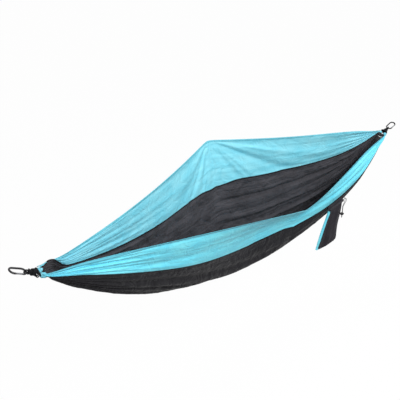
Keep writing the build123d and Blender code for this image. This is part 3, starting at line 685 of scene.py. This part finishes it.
def sack_ring(down, around):
    """Point of the empty bag: down to 1 at its bottom, around to 1 across the front and to 2 back again."""
    front = (around <= 1) | (around > 2)
    a = np.where(around > 2, around - 2, np.where(front, around, 2 - around))
    drop = HEM_HIGH / (MOUTH_RUN / MOUTH)
    left = (-LEAN_FOOT * down, (-DROP_FOOT + drop) * down - drop)
    right = (MOUTH_RUN - LEAN_HEAD * down, MOUTH_RISE - drop + (-DROP_HEAD + drop) * down)
    corner = smooth((down - 0.93) / 0.07) ** 2 * 0.09
    a_in = corner + (1 - 2 * corner) * a
    x = mix(left[0], right[0], a_in) - 0.004 * np.sin(pi * down) * (1 - a)
    x += 0.003 * np.sin(2.5 * pi * down) * a
    y = mix(left[1], right[1], a_in) - 0.006 * np.sin(pi * a) * smooth((down - 0.8) / 0.2)
    edge = np.abs(2 * a - 1)
    shape = (1 - edge ** mix(7.0, 2.6, smooth(down / 0.25))) ** 0.6
    deep = mix(0.0092, 0.0085, down) * (1 - smooth((down - 0.72) / 0.28) * 0.96)
    fold = 0.0032 * np.sin(2 * pi * (1.4 * a + 0.35 * down + 0.1))
    fold += 0.0020 * np.sin(2 * pi * (3.1 * a - 0.5 * down))
    fold += 0.0016 * ripple(a * 7 + down * 2, down * 6, 101) + 0.0008 * crease(a * 12, down * 14, 103)
    side = np.where(front, 1.0, -1.0)
    calm = (1 - edge ** 4) * smooth(down / 0.12) * (1 - 0.6 * smooth((down - 0.85) / 0.15))
    z = side * deep * shape + fold * calm
    return np.stack([x, y, z], -1)


SACK_CUT, SACK_THICK, SACK_ROWS = (0.15, 0.27), 0.0007, 90
WRAP = 0.14                 # the pale back cloth comes round the foot side onto the front by this share


def sack_sheet(name, low, high, columns, slot, node):
    """One cloth of the bag, from low to high round it."""
    down, around = np.meshgrid(np.linspace(0, 1, SACK_ROWS), np.linspace(low, high, columns), indexing="ij")
    local = sack_ring(down, around)
    out = normals_of(local)
    if out[SACK_ROWS // 2, columns // 2, 2] * (1 if low < 0.5 else -1) < 0:
        out = -out
    turn = np.stack([SACK_ALONG, UP, SACK_FRONT])
    uv = np.stack([down * SACK_CUT[1], around * SACK_CUT[0]], -1)
    return cloth_shell(name, in_sack(local), out @ turn, SACK_THICK, uv, "sack", slot, (node,))


sack_front = sack_sheet("sack_front_cloth", WRAP, 1.0, 60, "dark_cloth", "sack_front_panel")
sack_back = sack_sheet("sack_back_cloth", 1.0, 2.0 + WRAP, 76, "light_cloth", "sack_back_panel")


def bound_edge(name, places, radius, node):
    """Narrow rolled binding sewn along a line of the bag."""
    local = sack_ring(*(np.array(places).T[:, :, None]))[:, 0]
    line, length = even_line(in_sack(local), 0.0015)
    one, two = carried_frames(line)
    angle = np.linspace(0, 2 * pi, 12, endpoint=False)
    run = np.linspace(0, length, len(line))
    r = radius * (1 + 0.10 * np.sin(run / 0.006 * 2 * pi))[:, None] * np.ones(len(angle))
    rings = rings_of(line, one, two, r, angle)
    add_tube(name, rings, ring_uvs(run, angle * radius), "sack", "dark_cloth", (node,))


LOWEST = 0.995
down_side = [(t, WRAP) for t in np.linspace(0.0, LOWEST, 60)]
bottom = [(LOWEST, t) for t in np.linspace(WRAP + 0.02, 0.98, 40)]
up_side = [(t, 1.0) for t in np.linspace(LOWEST, 0.0, 60)]
bound_edge("sack_edge_binding", down_side + bottom + up_side, 0.0013, "sack_side_seam")


def rounded(wave, power):
    """A sine or cosine wave with squarer shoulders."""
    return np.sign(wave) * np.abs(wave) ** power


def mouth_line():
    """Evenly spaced plan of the mouth: along its front, round the foot side and back."""
    t, bend = np.linspace(0, 1, 24), np.linspace(pi / 2, 3 * pi / 2, 26)
    centre, straight = SPREAD + HEM_Z, MOUTH - SPREAD - HEM_Z
    plan = np.concatenate([np.stack([MOUTH - t * straight, 0 * t + SPREAD], 1)[:-1],
                           np.stack([centre + SPREAD * np.cos(bend), SPREAD * np.sin(bend)], 1),
                           np.stack([centre + t * straight, 0 * t - SPREAD], 1)[1:]])
    line, length = even_line(np.concatenate([plan, 0 * plan[:, :1]], 1), 0.0012)
    return line[:, :2], length


PUCKER_PITCH = 0.0105


def sack_mouth_fold():
    """The mouth hem: a folded band round the drawcord, puckered by it."""
    plan, length = mouth_line()
    tangent = np.gradient(plan, axis=0)
    tangent /= np.linalg.norm(tangent, axis=1, keepdims=True)
    aside = np.stack([-tangent[:, 1], tangent[:, 0]], 1)
    ring = np.linspace(0, 2 * pi, 28, endpoint=False)
    run = np.linspace(0, length, len(plan))
    wave = run / PUCKER_PITCH * 2 * pi
    up = 0.0098 * rounded(np.sin(ring), 0.75) - 0.0102
    from_bore = up - BORE_UP
    thick = 0.0006 + 0.0023 * np.exp(-((from_bore / 0.0034) ** 2))
    pucker = 0.0007 * np.sin(wave + 1.4 * ripple(run * 60, run * 0, 107))
    pucker += 0.0004 * ripple(run * 160, run * 0, 109)
    height = up[None, :] + 0.0006 * np.sin(wave)[:, None] * (np.abs(up + 0.010) > 0.007)
    wide = rounded(np.cos(ring), 0.5)[None, :] * thick[None, :]
    wide = wide + pucker[:, None] * (1 - np.exp(-((from_bore / 0.005) ** 2)))[None, :]
    along, depth = (plan[:, None, k] + aside[:, None, k] * wide for k in (0, 1))
    rings = in_sack(np.stack(along_mouth(along, height, depth), -1))
    add_tube("sack_mouth_fold", rings, ring_uvs(run, ring * 0.006), "sack", "dark_cloth",
             ("sack_mouth_hem",), turned=True)


def sack_tab_fold():
    """The sewn fold that carries the sack."""
    run = np.linspace(0.008, MOUTH - 0.008, 70)
    ring = np.linspace(0, 2 * pi, 16, endpoint=False)
    ups = -0.00165 + 0.0016 * rounded(np.sin(ring), 0.6)
    flatness = np.abs(np.cos(ring)) ** 0.4
    on_hem, on_seam = -SPREAD - HEM_Z - 0.0003, -0.0173 + 0.27 * (ups + 0.0034)
    z = np.where(np.cos(ring) > 0, on_hem, on_seam) * flatness + (on_hem + on_seam) / 2 * (1 - flatness)
    rows = [[along_mouth(x, up + 0.0002 * sin(x * 900), depth) for up, depth in zip(ups, z)] for x in run]
    add_tube("sack_tab_fold", in_sack(np.array(rows)), ring_uvs(run, ring * 0.002), "hammock", "dark_cloth",
             ("sack_seam_tab",), turned=True)


sack_mouth_fold()
sack_tab_fold()

# drawcord: from its knot up through the lock, round the hem and back
STRAND_OFF, CORD_R = 0.0021, 0.0015
exit_x, exit_y, _ = along_mouth(MOUTH, BORE_UP, 0)
lock_x, lock_y = exit_x + 0.009, exit_y - 0.108
knot_y = lock_y - 0.0075 - 0.006
FINE_CORD = dict(sides=12, strands=6, step=0.0008)
hang = [(0.021, 0.006, 0.0082), (0.0265, -0.007, 0.0068), (0.022, -0.026, 0.0044)]
side = [(lock_x, exit_y + y, STRAND_OFF) for y in (knot_y - exit_y, -0.062, -0.050)]
side += [(exit_x + x, exit_y + y, z) for x, y, z in reversed(hang)]
side += [along_mouth(x, BORE_UP, SPREAD) for x in (MOUTH + 0.0127, MOUTH, HEM_Z + 2 * SPREAD, HEM_Z)]
route = side + [(x, y, -z) for x, y, z in reversed(side)]
drawcord_line = route_curve("drawcord_route", in_sack(np.array(route)))
drawcord = braided_tube("sack_drawcord_braid", drawcord_line, CORD_R, "sack", "cord", ("sack_drawcord",),
                        sides=14, strands=6, step=0.0008)

# the knot, two turns of the cord with its melted ends below
KNOT_SIZE, KNOT_TALL, KNOT_DROP, KNOT_CORD_R, TAIL_R = 0.00098, 1.54, 0.0045, 0.0014, 0.0013
t = np.linspace(0, 2 * pi, 160, endpoint=False)
reach = 2 + np.cos(3 * t)
knot = KNOT_SIZE * np.stack([reach * np.cos(2 * t), KNOT_TALL * np.sin(3 * t), reach * np.sin(2 * t)], 1)
knot += (lock_x, knot_y - KNOT_DROP, 0)
knot_piece = braided_tube("sack_cord_knot", in_sack(knot), KNOT_CORD_R, "sack", "cord", ("drawcord_knot",),
                          closed=True, **FINE_CORD)
for k, (dx, dz) in enumerate(((-0.0022, 0.0012), (0.0018, -0.0016))):
    tail = np.array([(lock_x + dx * w, knot_y - 0.004 - 0.011 * w, dz * w) for w in np.linspace(0.2, 1, 8)])
    braided_tube(f"sack_cord_tail_{k + 1}", in_sack(tail), TAIL_R, "sack", "cord", **FINE_CORD)

# the lock's spring, between its button and its body
COIL_R, COIL_WIRE_R, COIL_TURNS, PRESS = 0.0028, 0.00025, 3, 0.0030
coil_low, coil_high = lock_x - 0.0087, lock_x - 0.0043
turn = np.linspace(0, COIL_TURNS * 2 * pi, 40 * COIL_TURNS)
coil_x = np.linspace(coil_low + COIL_WIRE_R, coil_high - COIL_WIRE_R, len(turn))
coil = np.stack([coil_x, lock_y + COIL_R * np.cos(turn), COIL_R * np.sin(turn)], 1)
spring = braided_tube("lock_coil_spring", in_sack(coil), COIL_WIRE_R, "lock_button", "steel",
                      ("cord_lock_spring",), sides=12, relief=0.0, step=0.0004)
tuple(in_sack((coil_high, lock_y, 0.0)))
1 - PRESS / (coil_high - coil_low)
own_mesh(spring)

tuple(in_sack(np.array(route[0])))

# ---------------------------------------------------------------- materials
class Value:
    """A shader socket that takes part in sums."""

    def __init__(self, nodes, socket):
        self.nodes, self.socket = nodes, socket

    def beside(self, output):
        """Another output of the same node."""
        return Value(self.nodes, self.socket.node.outputs[output])

    def __add__(self, other):
        return self.nodes.maths("ADD", self, other)

    def __radd__(self, other):
        return self.nodes.maths("ADD", other, self)

    def __mul__(self, other):
        return self.nodes.maths("MULTIPLY", self, other)

    def __rmul__(self, other):
        return self.nodes.maths("MULTIPLY", other, self)


class Nodes:
    """The node tree of a material or of the world."""

    def __init__(self, tree):
        self.tree = tree

    def node(self, kind, settings=None, inputs=None, output=0):
        """Adds a node: first its settings, then the values or links of its sockets."""
        made = self.tree.nodes.new(kind)
        for key, value in (settings or {}).items():
            setattr(made, key, value)
        for key, value in (inputs or {}).items():
            if isinstance(value, Value):
                self.tree.links.new(value.socket, made.inputs[key])
            else:
                made.inputs[key].default_value = value
        return Value(self, made.outputs[output])

    def maths(self, operation, *values):
        return self.node("ShaderNodeMath", {"operation": operation}, dict(enumerate(values)))

    def seen_rays(self, paths):
        """1 for what the camera sees straight, in a mirror or through glass, otherwise 0."""
        straight_or_mirrored = self.maths("MAXIMUM", paths, paths.beside("Is Glossy Ray"))
        return self.maths("MAXIMUM", straight_or_mirrored, paths.beside("Is Transmission Ray"))

    def show(self, value, output):
        self.tree.links.new(value.socket, self.tree.nodes[output].inputs[0])


class Finish(Nodes):
    """One material with its Principled shader."""

    def __init__(self, name, **constants):
        self.material = bpy.data.materials.new(name)
        self.material.use_nodes = True
        super().__init__(self.material.node_tree)
        self.shader = self.tree.nodes["Principled BSDF"]
        for socket, value in constants.items():
            self.shader.inputs[socket.replace("_", " ")].default_value = value

    def feed(self, socket, value):
        self.tree.links.new(value.socket, self.shader.inputs[socket])

    def colour_mix(self, amount, one, two):
        return self.node("ShaderNodeMix", {"data_type": "RGBA"}, {0: amount, 6: one, 7: two}, 2)

    def spread(self, value, low, high, start, end):
        """A value that runs from low to high, made to run from start to end."""
        return self.node("ShaderNodeMapRange", None, {0: value, 1: low, 2: high, 3: start, 4: end})

    def bump(self, height, distance, strength=1.0, under=None):
        inputs = {"Height": height, "Distance": distance, "Strength": strength}
        if under is not None:
            inputs["Normal"] = under
        return self.node("ShaderNodeBump", None, inputs)


def srgb(r, g, b):
    """The linear colour of a screen colour from 0 to 255."""
    shares = [c / 255 for c in (r, g, b)]
    return tuple(c / 12.92 if c <= 0.04045 else ((c + 0.055) / 1.055) ** 2.4 for c in shares) + (1.0,)


def scaled(colour, shares):
    return tuple(min(c * share, 1.0) for c, share in zip(colour, shares)) + (1.0,)


THREADS = 3100.0              # of the plain weave, in radians for each metre


def nylon(name, colour, deep, outer_painted_light, gloss, rough, crinkle, streaks, depth=0.007):
    """Crinkled parachute nylon: fine plain weave, crumple lines, streaks along its pull, a little sheen.

    The outer face has painted light and shade: its colours are scaled for how light falls on that side,
    darker for the dark cloth and more saturated for the pale cloth; deep is the colour of the darker patches."""
    f = Finish(name, Roughness=rough, Sheen_Weight=0.05, Sheen_Roughness=0.4, Specular_IOR_Level=gloss)

    def noise(vector, scale, detail, roughness=0.5, distortion=0.0, kind="FBM"):
        settings = {"noise_dimensions": "2D", "noise_type": kind}
        inputs = {"Vector": vector, "Scale": scale, "Detail": detail,
                  "Roughness": roughness, "Distortion": distortion}
        return f.node("ShaderNodeTexNoise", settings, inputs)

    cut = f.node("ShaderNodeUVMap", {"uv_map": "cut"})
    along = f.node("ShaderNodeSeparateXYZ", None, {0: cut})
    across = along.beside(1)
    pulled_out = f.node("ShaderNodeCombineXYZ", None, {0: along * 2.2, 1: across * 30.0})
    swell = noise(cut, 15.0, 4.0, 0.6, 0.8)
    crease_lines = noise(cut, 9.0, 3.0, 0.5, 0.5, "RIDGED_MULTIFRACTAL")
    streak = noise(pulled_out, 1.0, 3.0, 0.55)
    shade = noise(cut, 6.0, 3.0)
    warp, weft = f.maths("SINE", along * THREADS), f.maths("SINE", across * THREADS)
    tone = f.spread(shade * 0.4 + swell * 0.3 + streak * 0.3, 0.35, 0.65, 0.0, 1.0)
    outside = f.node("ShaderNodeAttribute", {"attribute_name": "outside"}, None, 2)
    inner_face = f.colour_mix(tone, deep, colour)
    # painted light and shade on the outer face: its colours are scaled for how light falls on that side
    outer_face_painted_light = f.colour_mix(tone, scaled(deep, outer_painted_light), scaled(colour, outer_painted_light))
    f.feed("Base Color", f.colour_mix(outside, inner_face, outer_face_painted_light))
    f.feed("Roughness", f.spread(swell, 0.3, 0.7, rough - 0.07, rough + 0.07))
    soft = f.bump(swell + crease_lines * crinkle + streak * streaks, depth, 0.9)
    f.feed("Normal", f.bump(warp * weft, 0.00006, 0.6, soft))
    return f.material


DARK, DARK_DEEP = srgb(77, 76, 81), srgb(60, 59, 63)
# painted shade: the hem folds are a darker pale blue than the pale cloth, for the shadow along the edges, and
# darker still on their outer face
hem_painted_shade = nylon("pale_blue_hem", srgb(116, 200, 217), srgb(92, 180, 199), outer_painted_light=(0.7, 0.85, 0.88),
                 gloss=0.25, rough=0.5, crinkle=0.2, streaks=0.4)
# painted shadow: the felled seams are near black, darker than the dark cloth, for the shadow line along each
# seam
dark_seam = nylon("dark_seam", srgb(44, 43, 47), srgb(30, 29, 33), outer_painted_light=(0.8, 0.8, 0.8),
                  gloss=0.03, rough=0.6, crinkle=0.2, streaks=0.4)
# a piece's own name goes before its slot
MATERIALS = {
    # the pale cloth's outer face is painted more saturated, less red and more green and blue, for the light
    # that reaches that side
    "light_cloth": nylon("pale_blue_nylon", srgb(146, 221, 236), srgb(116, 205, 225), outer_painted_light=(0.86, 1.2, 1.24),
                         gloss=0.25, rough=0.50, crinkle=0.25, streaks=0.45),
    # the dark cloth's outer face, the belly, is painted darker, to 0.36 of its colour, as shade
    "dark_cloth": nylon("dark_grey_nylon", DARK, DARK_DEEP, outer_painted_light=(0.36, 0.36, 0.36),
                        gloss=0.06, rough=0.5, crinkle=1.2, streaks=0.9, depth=0.015),
    # the sack's outer face is painted darker, to about 0.6 of its colour, as shade
    "sack_front_cloth": nylon("dark_grey_sack", DARK, DARK_DEEP, outer_painted_light=(0.62, 0.6, 0.62),
                              gloss=0.06, rough=0.5, crinkle=0.9, streaks=0.9),
    "front_hem_fold": hem_painted_shade,
    "back_hem_fold": hem_painted_shade,
    "front_felled_seam": dark_seam,
    "back_felled_seam": dark_seam,
}
cord_finish = Finish("black_braided_cord", Roughness=0.75, Specular_IOR_Level=0.15)
grain = cord_finish.node("ShaderNodeTexNoise", None, {"Scale": 900.0, "Detail": 3.0})
cord_finish.feed("Base Color", cord_finish.colour_mix(grain, srgb(13, 13, 15), srgb(32, 32, 35)))
cord_finish.feed("Normal", cord_finish.bump(grain, 0.0003, 0.5))
MATERIALS["cord"] = cord_finish.material


def worn_surface(name, dark, light, rough, metallic):
    """Metal or plastic with fine wear in its colour, gloss and surface."""
    f = Finish(name, Metallic=metallic, Roughness=rough)
    place = f.node("ShaderNodeTexCoord", None, None, 3)
    fine = f.node("ShaderNodeTexNoise", None, {"Vector": place, "Scale": 240.0, "Detail": 4.0})
    wide = f.node("ShaderNodeTexNoise", None, {"Vector": place, "Scale": 60.0, "Detail": 3.0})
    f.feed("Base Color", f.colour_mix(wide, dark, light))
    f.feed("Roughness", f.spread(fine, 0.3, 0.7, rough - 0.08, rough + 0.1))
    f.feed("Normal", f.bump(fine, 0.0001, 0.35))
    return f.material


for slot, name, dark, light, rough, metallic in (
        ("clip_black", "black_anodised_rod", srgb(16, 16, 18), srgb(30, 30, 33), 0.42, 0.3),
        ("gate_grey", "grey_anodised_gate", srgb(118, 119, 122), srgb(146, 147, 150), 0.34, 0.9),
        ("steel", "spring_steel", srgb(150, 150, 152), srgb(185, 185, 188), 0.3, 1.0),
        ("lock_plastic", "moulded_black_plastic", srgb(18, 18, 20), srgb(32, 32, 34), 0.45, 0.0)):
    MATERIALS[slot] = worn_surface(name, dark, light, rough, metallic)

slot_of = {part["node"]: part["material_slot"] for part in frame["record"]["subparts"]}
for thing in [thing for thing in bpy.data.objects if thing.type == "MESH"]:
    slot = slot_of.get(thing.name) or thing.get("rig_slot")
    finish = MATERIALS.get(thing.name) or MATERIALS.get(slot)
    if finish:
        thing.data.materials.clear()
        thing.data.materials.append(finish)

# ---------------------------------------------------------------- floor, light
scene = bpy.context.scene
scene.view_settings.view_transform = "Standard"
WHITE = (1, 1, 1, 1)
FLOOR_HALF, FLOOR_Z = 60, -1.25
GLOW_SHARE, SKY_STRENGTH = 0.97, 0.5      # how much the floor glows to the camera, and the light all round
floor_mesh = bpy.data.meshes.new("floor")
corners = [(x * FLOOR_HALF, y * FLOOR_HALF, FLOOR_Z) for x, y in ((-1, -1), (1, -1), (1, 1), (-1, 1))]
floor_mesh.from_pydata(corners, [], [(0, 1, 2, 3)])
floor = bpy.data.objects.new("floor", floor_mesh)
bpy.context.collection.objects.link(floor)
floor_finish = Finish("white_floor", Roughness=0.9)
paths = floor_finish.node("ShaderNodeLightPath")
floor_finish.feed("Base Color", floor_finish.colour_mix(paths, (0.22, 0.22, 0.22, 1), (0.9, 0.9, 0.9, 1)))
glow = floor_finish.node("ShaderNodeEmission", None, {"Color": WHITE, "Strength": 1.0})
lit = Value(floor_finish, floor_finish.shader.outputs[0])
seen = floor_finish.seen_rays(paths) * GLOW_SHARE
shown = floor_finish.node("ShaderNodeMixShader", None, {0: seen, 1: lit, 2: glow})
floor_finish.show(shown, "Material Output")
floor_mesh.materials.append(floor_finish.material)

world = bpy.data.worlds.new("plain")
scene.world = world
world.use_nodes = True
sky = Nodes(world.node_tree)
even_light = Value(sky, sky.tree.nodes["Background"].outputs[0])
even_light.socket.node.inputs["Color"].default_value = WHITE
even_light.socket.node.inputs["Strength"].default_value = SKY_STRENGTH
white = sky.node("ShaderNodeBackground", None, {"Color": WHITE, "Strength": 1.0})
seen = sky.seen_rays(sky.node("ShaderNodeLightPath"))
sky.show(sky.node("ShaderNodeMixShader", None, {0: seen, 1: even_light, 2: white}), "World Output")


def soft_light(name, place, target, size, watts):
    lamp = bpy.data.lights.new(name, "AREA")
    lamp.energy, lamp.size = watts, size
    holder = bpy.data.objects.new(name, lamp)
    bpy.context.collection.objects.link(holder)
    holder.location = place
    holder.rotation_euler = (Vector(target) - Vector(place)).to_track_quat("-Z", "Y").to_euler()


soft_light("key", (0.2, -3.3, 2.6), (1.45, 0.2, -0.3), 1.5, 146)
soft_light("side", (4.0, -1.6, 2.6), (1.6, 0.2, -0.3), 1.4, 28)
soft_light("top", (1.5, 0.6, 2.9), (1.6, 0.2, -0.5), 1.0, 22)
